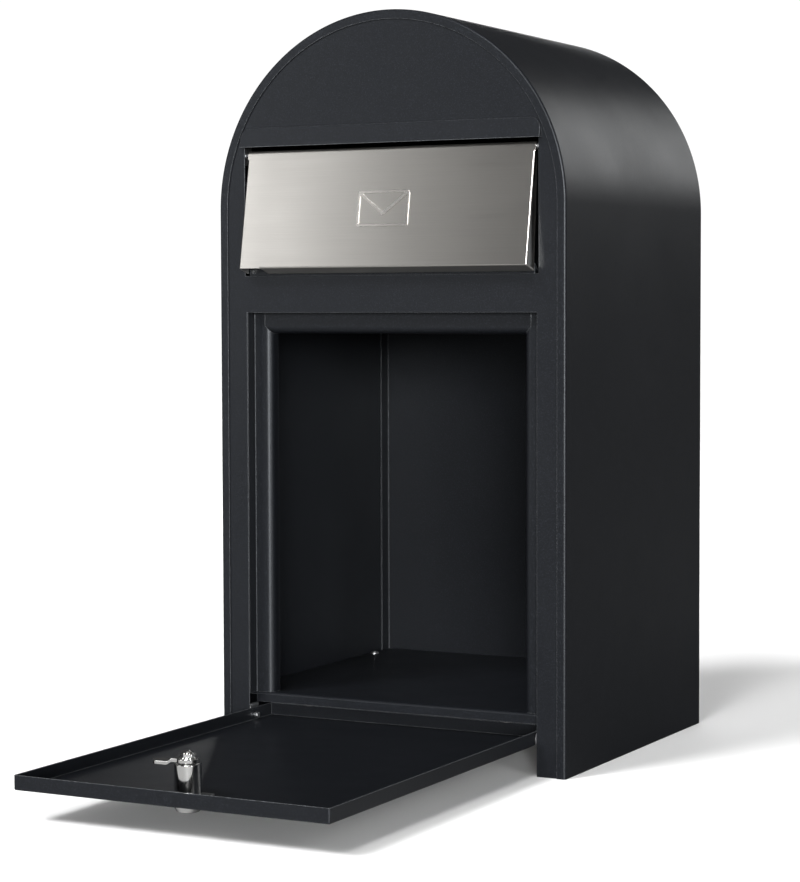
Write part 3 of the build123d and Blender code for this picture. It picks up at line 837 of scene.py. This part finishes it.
@dataclass
class DoorFrame:
    """Two side members and a top member round the door opening, mitred at the rolled lip."""

    lip: float = 6.0
    corner: float = 1.0

    def build(self) -> None:
        """Make the three members."""
        self.land = PLACE.clear_half + self.lip
        for side in Side:
            self.side_member(side)
        self.top_member()

    def side_member(self, side: Side) -> None:
        """The member on one side of the box."""
        mesh = bmesh.new()
        wall, land, clear = PLACE.opening_half, self.land, PLACE.clear_half
        foot, land_y, sign = PLACE.floor_top, PLACE.land_y, side.value
        section = [
            (wall + PLACE.frame_flange, PLACE.panel_back), (wall, PLACE.panel_back), (wall, land_y),
            (clear, land_y), (clear, PLACE.lip_back),
        ]
        corners = [(sign * x, y, foot) for x, y in section]
        chain = folded(mesh, corners, [0.0, self.corner, self.lip], steps=8)
        mitre = PLACE.clear_top + self.lip
        ends = sweep(mesh, chain.edges, (0, 0, mitre - foot))
        outer = [e for e in ends if min(abs(v.co.x) for v in e.verts) > land - NEAR]
        sweep(mesh, outer, (0, 0, PLACE.opening_top - mitre))
        for vert in {v for e in ends for v in e.verts if abs(v.co.x) < land - NEAR}:
            vert.co.z = PLACE.clear_top + abs(vert.co.x) - clear
        face_towards(mesh, (sign * (wall + land) / 2, land_y, 200), FORWARD)
        name = f"door_frame_{side.name.lower()}"
        make_piece(f"{name}_member", mesh, name, sheet=PLACE.sheet, soften=0.2)

    def top_member(self) -> None:
        """The top member, whose land butts between the side lands."""
        mesh = bmesh.new()
        land, land_y, back = self.land, PLACE.land_y, PLACE.panel_back
        top, edge, end = PLACE.opening_top, PLACE.clear_top, PLACE.opening_half + PLACE.sheet
        corners = [(-end, back, top + PLACE.frame_flange), (-end, back, top), (-end, land_y, top)]
        upper = folded(mesh, corners, [0.0])
        sweep(mesh, upper.edges, (2 * end, 0, 0))
        face_towards(mesh, (0, (back + land_y) / 2, top), DOWN)
        lower = bmesh.new()
        corners = [(-land, land_y, top), (-land, land_y, edge), (-land, PLACE.lip_back, edge)]
        sweep(lower, folded(lower, corners, [self.lip], steps=8).edges, (2 * land, 0, 0))
        for vert in lower.verts:
            if vert.co.z < edge + self.lip - NEAR:
                vert.co.x = math.copysign(PLACE.clear_half + vert.co.z - edge, vert.co.x)
        face_towards(lower, (0, land_y, top - 2), FORWARD)
        scratch = bpy.data.meshes.new("land")
        lower.to_mesh(scratch)
        lower.free()
        mesh.from_mesh(scratch)
        bpy.data.meshes.remove(scratch)
        make_piece("door_frame_top_member", mesh, "door_frame_top", sheet=PLACE.sheet, soften=0.2)


# ---------------------------------------------------------------- door


@dataclass
class AccessDoor:
    """Folded tray with its hinge pins."""

    bend: float = 1.3
    lock_hole: float = 9.7

    def build(self) -> None:
        """Make the tray and the pins."""
        self.tray()
        formed_copy("door_hinge_pins", ZINC, Body.DOOR)

    def tray(self) -> None:
        """Flat sheet with four walls turned up, all corners closed and rounded."""
        mesh = bmesh.new()
        low, high = node_box("access_door")
        lock = joint_point("lock_turn")
        corners = [(low.x, low.y), (high.x, low.y), (high.x, high.y), (low.x, high.y)]
        rim = loop(mesh, [(x, y, low.z) for x, y in corners])
        fill(mesh, rim + circle(mesh, (lock.x, lock.y, low.z), self.lock_hole, segments=48), DOWN)
        sweep(mesh, rim, (0, 0, high.z - low.z))
        round_folds(mesh, self.bend)
        face_towards(mesh, (0, low.y + 60, low.z), DOWN)
        make_piece(
            "access_door_tray", mesh, "access_door", body=Body.DOOR, sheet=PLACE.sheet, soften=0.3, segments=3
        )


# ---------------------------------------------------------------- lock


@dataclass
class CamLock:
    """Housing with a tapered head, clip, plug with a keyway, cranked cam and domed nut."""

    axis: Vector = field(default_factory=lambda: joint_point("lock_turn"))
    radius: float = 9.5
    flat: float = 8.4
    head_base: float = 12.0
    head_tip: float = 8.5
    bore: float = 6.05
    plug: float = 5.95
    keyway: Range = (1.4, 7.0)
    keyway_depth: float = 5.0
    shank: float = 7.0
    shank_gap: float = 0.02
    cam_sheet: float = 3.0
    cam_width: float = 12.0
    cam_root: float = 8.0
    crank_start: float = 9.5
    crank_end: float = 14.5
    crank_steps: int = 6
    nut_flange: float = 1.0
    turn_steps: int = 64

    def build(self) -> None:
        """Make every piece of the lock."""
        for make in (self.housing, self.turning_plug, self.cam, self.nut):
            make()
        formed_copy("lock_clip", ZINC, Body.DOOR)

    def turned(self, mesh: BMesh, profile: Sequence[Range], closed: bool = True) -> None:
        """Turn a profile of radii and heights round the lock's axis."""
        points = [(self.axis.x + r, self.axis.y, z) for r, z in profile]
        chain = Outline(mesh, points[0]).line(*points[1:])
        if closed:
            chain.close()
        geometry: list = chain.verts + chain.edges
        bmesh.ops.spin(
            mesh, geom=geometry, cent=self.axis, axis=Vector(UP), angle=2 * math.pi, steps=self.turn_steps,
            use_merge=True,
        )

    def housing(self) -> None:
        """Tapered head below the door, round barrel with one flat above it."""
        mesh = bmesh.new()
        low, high = node_box("lock_body")
        seat = node_box("access_door")[0].z
        bore, tip, base, barrel = self.bore, self.head_tip, self.head_base, self.radius
        self.turned(mesh, [
            (bore, low.z + 0.5), (bore + 0.5, low.z), (tip - 0.8, low.z), (tip, low.z + 0.6),
            (base - 0.5, seat - 1.6), (base, seat - 0.9), (base, seat),
            (barrel, seat), (barrel, high.z - 0.8), (barrel - 0.8, high.z),
            (bore + 0.4, high.z), (bore, high.z - 0.4),
        ])
        for vert in mesh.verts:
            if vert.co.z > seat + PLACE.sheet:
                vert.co.x = min(vert.co.x, self.axis.x + self.flat)
        make_piece("lock_housing", mesh, "lock_body", LOCK_PLATE, Body.DOOR, soften=0.18)

    def turning_plug(self) -> None:
        """Plug whose face shows the keyway, with a square shank through the cam."""
        mesh = bmesh.new()
        low, high = node_box("lock_plug")
        body_top = node_box("lock_body")[1].z
        x, y = self.axis.xy
        rim = circle(mesh, (x, y, low.z), self.plug, segments=48)
        wide, tall = self.keyway[0] / 2, self.keyway[1] / 2
        corners = [(-wide, -tall), (wide, -tall), (wide, tall), (-wide, tall)]
        slot = loop(mesh, [(x + dx, y + dy, low.z) for dx, dy in corners])
        fill(mesh, rim + slot, DOWN)
        fill(mesh, sweep(mesh, slot, (0, 0, self.keyway_depth)), DOWN)
        fill(mesh, sweep(mesh, rim, (0, 0, body_top - low.z)), UP)
        foot = body_top + self.shank_gap
        square = bmesh.ops.create_cube(mesh, size=1.0)["verts"]
        bmesh.ops.scale(mesh, vec=Vector((self.shank, self.shank, high.z - foot)), verts=square)
        bmesh.ops.translate(mesh, vec=Vector((x, y, (foot + high.z) / 2)), verts=square)
        make_piece("lock_plug_turned", mesh, "lock_plug", LOCK_PLATE, Body.BARREL, soften=0.15)

    def cam(self) -> None:
        """Round root and a tongue that steps towards the door."""
        mesh = bmesh.new()
        low, high = node_box("lock_cam")
        x, y, top = self.axis.x, self.axis.y, high.z
        half, tip = self.cam_width / 2, low.x + self.cam_width / 2
        lean = math.asin(half / self.cam_root)
        start = (x - self.cam_root * math.cos(lean), y - half, top)
        chain = Outline(mesh, start).arc((x, y, top), UP, 2 * (math.pi - lean), 28)
        chain.line((tip, y + half, top)).arc((tip, y, top), UP, math.pi, 14).close()
        bmesh.ops.contextual_create(mesh, geom=chain.edges)
        thicken(mesh, mesh.faces[:], (0, 0, -self.cam_sheet))
        crank, run = x - self.crank_start, self.crank_end - self.crank_start
        for stage in range(self.crank_steps + 1):
            geometry: list = mesh.verts[:] + mesh.edges[:] + mesh.faces[:]
            cut = Vector((crank - run * stage / self.crank_steps, 0, 0))
            bmesh.ops.bisect_plane(mesh, geom=geometry, plane_co=cut, plane_no=Vector((1, 0, 0)))
        step = high.z - low.z - self.cam_sheet
        for vert in mesh.verts:
            share = min(max((crank - vert.co.x) / run, 0.0), 1.0)
            vert.co.z -= step * share * share * (3 - 2 * share)
        make_piece("lock_cam_tongue", mesh, "lock_cam", LOCK_PLATE, Body.BARREL, soften=0.45, segments=3)

    def nut(self) -> None:
        """Flange, hexagon and dome."""
        mesh = bmesh.new()
        low, high = node_box("cam_nut")
        radius, seat, rise = high.x - self.axis.x, low.z, high.z - low.z
        top = seat + self.nut_flange
        flange = [(0.0, seat), (radius - 0.2, seat), (radius, seat + 0.3), (radius - 0.4, top), (0.0, top)]
        self.turned(mesh, flange, closed=False)
        hexagon = circle(mesh, (self.axis.x, self.axis.y, top), 0.94 * radius, segments=6)
        fill(mesh, sweep(mesh, hexagon, (0, 0, 0.4 * rise)), UP)
        fill(mesh, hexagon, DOWN)
        base = top + 0.4 * rise
        angles = (0, 0.3, 0.6, 0.9, 1.2, math.pi / 2)
        dome = [(0.74 * radius * math.cos(a), base + (high.z - base) * math.sin(a)) for a in angles]
        self.turned(mesh, [(0.0, base), *dome], closed=False)
        make_piece("cam_nut_domed", mesh, "cam_nut", LOCK_PLATE, Body.BARREL, soften=0.2)


# ---------------------------------------------------------------- flap


@dataclass
class LetterFlap:
    """Leaning stainless face rolled round its rod, with cheeks, a lower return and an embossed envelope."""

    lean: float = math.radians(10.0)
    fall: float = math.radians(17.0)
    sheet: float = 1.1
    knuckle: float = 3.25
    bend: float = 1.5
    roll: float = 5.0
    cheek_gap: float = 5.0
    notch: float = 18.5
    emblem_width: float = 46.0
    emblem_height: float = 29.0
    emblem_line: float = 2.1
    emblem_rise: float = 0.75
    emblem_dip: float = 0.30

    def build(self) -> None:
        """Find the corners of the flap's section, then make the flap and its emblem."""
        low, high = node_box("mail_flap")
        self.half = high.x
        self.axis = joint_point("flap_hinge")
        self.down = Vector((0, -math.sin(self.lean), -math.cos(self.lean)))
        self.out = Vector((0, -math.cos(self.lean), math.sin(self.lean)))
        self.top = self.at(0, self.axis) + self.out * self.knuckle
        self.length = (self.top.y - low.y) / math.sin(self.lean)
        self.foot = self.top + self.down * self.length
        self.heel = Vector((0, low.y + (self.foot.z - low.z) / math.tan(self.fall), low.z))
        self.face()
        self.emblem()

    def at(self, x: float, point: Vector) -> Vector:
        """A point of the section moved to a place along the flap."""
        return Vector((x, point.y, point.z))

    def face(self) -> None:
        """One folded sheet: roll, face, return and two cheeks."""
        mesh = bmesh.new()
        left = -self.half
        centre, top = self.at(left, self.axis), self.at(left, self.top)
        start = centre + Matrix.Rotation(-self.roll, 3, "X") @ (top - centre)
        chain = Outline(mesh, start).arc(centre, (1, 0, 0), self.roll, 24)
        chain.line(self.at(left, self.foot), self.at(left, self.heel))
        notch_end = left + PLACE.sheet + self.notch
        sweep(mesh, chain.edges, (notch_end - left, 0, 0), (self.half - notch_end, 0, 0))
        merge(mesh)
        middles = [(f, f.calc_center_median()) for f in mesh.faces]
        spare = [f for f, c in middles if c.x < notch_end and c.z < self.foot.z]
        bmesh.ops.delete(mesh, geom=spare, context="FACES")
        for side in Side:
            self.cheek(mesh, side.value * self.half)
        round_folds(mesh, self.bend)
        face_towards(mesh, self.at(20, (self.top + self.foot) / 2), self.out)
        make_piece("mail_flap_sheet", mesh, "mail_flap", STAINLESS, Body.FLAP, sheet=self.sheet, soften=0.2)

    def cheek(self, mesh: BMesh, x: float) -> None:
        """Triangular end of the flap at a place along it, which stops below the roll."""
        rim = [self.top + self.down * self.cheek_gap, self.foot, self.heel]
        rim += [Vector((0, self.heel.y, self.foot.z + 1.0)), Vector((0, self.axis.y + 0.5, rim[0].z))]
        spots = [self.at(x, point) for point in rim]
        geometry: list = mesh.verts[:] + mesh.edges[:] + mesh.faces[:]
        bmesh.ops.bisect_plane(mesh, geom=geometry, plane_co=spots[0], plane_no=self.down, dist=NEAR)
        known = {i: v for i, spot in enumerate(spots) for v in mesh.verts if (v.co - spot).length < 2 * NEAR}
        mesh.faces.new([known[i] if i in known else mesh.verts.new(spot) for i, spot in enumerate(spots)])

    def emblem(self) -> None:
        """Plain raised envelope in the middle of the face: a rim, with a flap and a pocket cut out of it."""
        mesh = bmesh.new()
        centre = self.top + self.down * (0.5 * self.length)
        wide, tall, line = self.emblem_width / 2, self.emblem_height / 2, self.emblem_line
        inner, upper = wide - line, tall - line
        slant, dip = 0.75 * line, -self.emblem_dip * tall
        rim = [(0, -tall), (wide, -tall), (wide, tall), (-wide, tall), (-wide, -tall), (0, -tall)]
        flap = [(0, upper), (slant - inner, upper), (0, dip + slant), (inner - slant, upper), (0, upper)]
        pocket = [
            (0, -upper), (-inner, -upper), (-inner, upper - slant), (0, dip - slant),
            (inner, upper - slant), (inner, -upper), (0, -upper),
        ]
        bends = ((rim, [2.5] * 4, 5), (flap, [0.5, 0.8, 0.5], 3), (pocket, [1.2, 0.4, 0.8, 0.4, 1.2], 3))
        for corners, radii, steps in bends:
            folded(mesh, [self.at(across, centre - self.down * up) for across, up in corners], radii, steps)
        merge(mesh)
        thicken(mesh, fill(mesh, mesh.edges, self.out), self.out * self.emblem_rise)
        make_piece("flap_emblem", mesh, finish=STAMPED, body=Body.FLAP, soften=0.42, segments=3)


# ---------------------------------------------------------------- stage


def hang(name: str, light: bpy.types.Light, turn: Vector, ahead: str) -> bpy.types.Object:
    """Put a light in the scene, with one of its axes turned to a direction."""
    lamp = bpy.data.objects.new(name, light)
    lamp.rotation_euler = turn.to_track_quat(ahead, "Y").to_euler()
    bpy.context.scene.collection.objects.link(lamp)
    return lamp


@dataclass(frozen=True)
class SoftBox:
    """One rectangular studio light."""

    name: str
    place: Point
    aim: Point
    size: Range
    power: float

    def build(self) -> None:
        """Hang the light."""
        light = bpy.data.lights.new(self.name, "AREA")
        light.shape = "RECTANGLE"
        light.size, light.size_y = self.size
        light.energy = self.power
        lamp = hang(self.name, light, Vector(self.aim) - Vector(self.place), "-Z")
        lamp.location = self.place
        lamp.visible_camera = False


@dataclass(frozen=True)
class SunLight:
    """Broad even light that gives the floor its tone and its soft shadow."""

    name: str
    source: Point
    strength: float
    angle_deg: float
    mirrored: bool

    def build(self) -> None:
        """Set up the light."""
        light = bpy.data.lights.new(self.name, "SUN")
        light.energy = self.strength
        light.angle = math.radians(self.angle_deg)
        hang(self.name, light, Vector(self.source), "Z").visible_glossy = self.mirrored


@dataclass
class Studio:
    """Pale floor, soft lights, plain surroundings and the camera."""

    camera_place: Point = (0.9179, -1.8735, 0.3676)
    yaw_deg: float = -27.67
    pitch_deg: float = -3.18
    roll_deg: float = -0.17
    lens_mm: float = 100.47
    sensor_mm: float = 36.0
    near_clip: float = 0.01
    surround: float = 0.05
    backdrop: float = 1.05
    floor_size: float = 60.0
    floor_tone: float = 0.90
    floor_bounce: Range = (0.30, 0.08)
    floor_fade: Range = (-0.5, 0.0)
    suns: tuple[SunLight, ...] = (
        SunLight("overhead", (-0.15, 0.25, 1.0), 0.3, 34.0, False),
        SunLight("shadow_caster", (-0.42, -0.80, 0.95), 3.1, 18.0, False),
        SunLight("front", (0.10, -1.0, 0.92), 1.4, 14.0, True),
        SunLight("level", (0.46, -0.90, 0.12), 4.0, 14.0, True),
        SunLight("rear", (-0.5, 1.0, 0.3), 0.35, 30.0, False),
    )
    lights: tuple[SoftBox, ...] = (
        SoftBox("key_left", (-1.93, -2.25, 1.15), (0.0, -0.1, 0.45), (1.0, 1.9), 13.0),
        SoftBox("rear_right", (1.15, 2.6, 1.35), (0.15, 0.0, 0.5), (1.6, 1.0), 11.5),
        SoftBox("rear_left", (-1.1, 2.8, 0.95), (0.0, 0.0, 0.6), (1.2, 0.5), 11.0),
        SoftBox("edge_right", (2.1, -1.5, 0.6), (0.15, -0.15, 0.4), (0.22, 1.8), 24.0),
        SoftBox("fill_right", (2.3, -1.3, 0.9), (0.0, -0.1, 0.25), (0.9, 1.4), 3.5),
        SoftBox("ceiling", (-0.1, -0.3, 2.3), (-0.1, -0.3, 0.0), (1.3, 1.3), 2.5),
    )

    def build(self) -> None:
        """Set up the stage."""
        self.floor()
        self.surroundings()
        for light in (*self.suns, *self.lights):
            light.build()
        self.camera()

    def floor(self) -> None:
        """Plain pale floor, which gives less light back behind the box than in front of it."""
        mesh = bmesh.new()
        bmesh.ops.create_grid(mesh, x_segments=1, y_segments=1, size=self.floor_size / 2)
        data = bpy.data.meshes.new("studio_floor")
        mesh.to_mesh(data)
        mesh.free()
        tree = ShaderTree("pale_floor")
        seen = tree.take("Is Camera Ray", "LightPath")
        depth = tree.take("Y", "SeparateXYZ", {"Vector": tree.place()})
        bounce = tree.spread(depth, *self.floor_bounce, self.floor_fade)
        tone = tree.blend(seen, bounce, self.floor_tone, Blend.NUMBER)
        tree.dress({"Base Color": tone, "Roughness": 0.9, "Specular IOR Level": 0.1})
        data.materials.append(tree.material)
        ground = bpy.data.objects.new("studio_floor", data)
        bpy.context.scene.collection.objects.link(ground)

    def surroundings(self) -> None:
        """Dim, even surroundings, seen as a pale backdrop."""
        world = bpy.data.worlds.new("studio")
        bpy.context.scene.world = world
        world.use_nodes = True
        nodes, links = world.node_tree.nodes, world.node_tree.links
        paths = nodes.new("ShaderNodeLightPath")
        level = nodes.new("ShaderNodeMapRange")
        level.inputs["To Min"].default_value = self.surround
        level.inputs["To Max"].default_value = self.backdrop
        links.new(paths.outputs["Is Camera Ray"], level.inputs["Value"])
        links.new(level.outputs["Result"], nodes["Background"].inputs["Strength"])
        nodes["Background"].inputs["Color"].default_value = (1.0, 1.0, 1.0, 1.0)
        bpy.context.scene.view_settings.view_transform = "Standard"

    def camera(self) -> None:
        """Camera at the viewer's place: a long lens, level with the middle of the box."""
        yaw, pitch, roll = (math.radians(a) for a in (self.yaw_deg, self.pitch_deg, self.roll_deg))
        ahead = Vector((math.sin(yaw) * math.cos(pitch), math.cos(yaw) * math.cos(pitch), math.sin(pitch)))
        right = ahead.cross(Vector(UP)).normalized()
        up = right.cross(ahead)
        right, up = right * math.cos(roll) + up * math.sin(roll), up * math.cos(roll) - right * math.sin(roll)
        data = bpy.data.cameras.new("viewer")
        data.lens = self.lens_mm
        data.sensor_width = self.sensor_mm
        data.clip_start = self.near_clip
        eye = bpy.data.objects.new("viewer", data)
        bpy.context.scene.collection.objects.link(eye)
        turn = Matrix((right, up, -ahead)).transposed()
        eye.matrix_world = Matrix.Translation(Vector(self.camera_place)) @ turn.to_4x4()
        bpy.context.scene.camera = eye


def main() -> None:
    """Build the stage, then every part of the box."""
    logging.basicConfig(level=logging.INFO, format="%(message)s")
    Studio().build()
    for part in (Casing(), DoorFrame(), AccessDoor(), CamLock(), LetterFlap()):
        LOG.info("building %s", type(part).__name__)
        part.build()


if __name__ == "__main__":
    main()
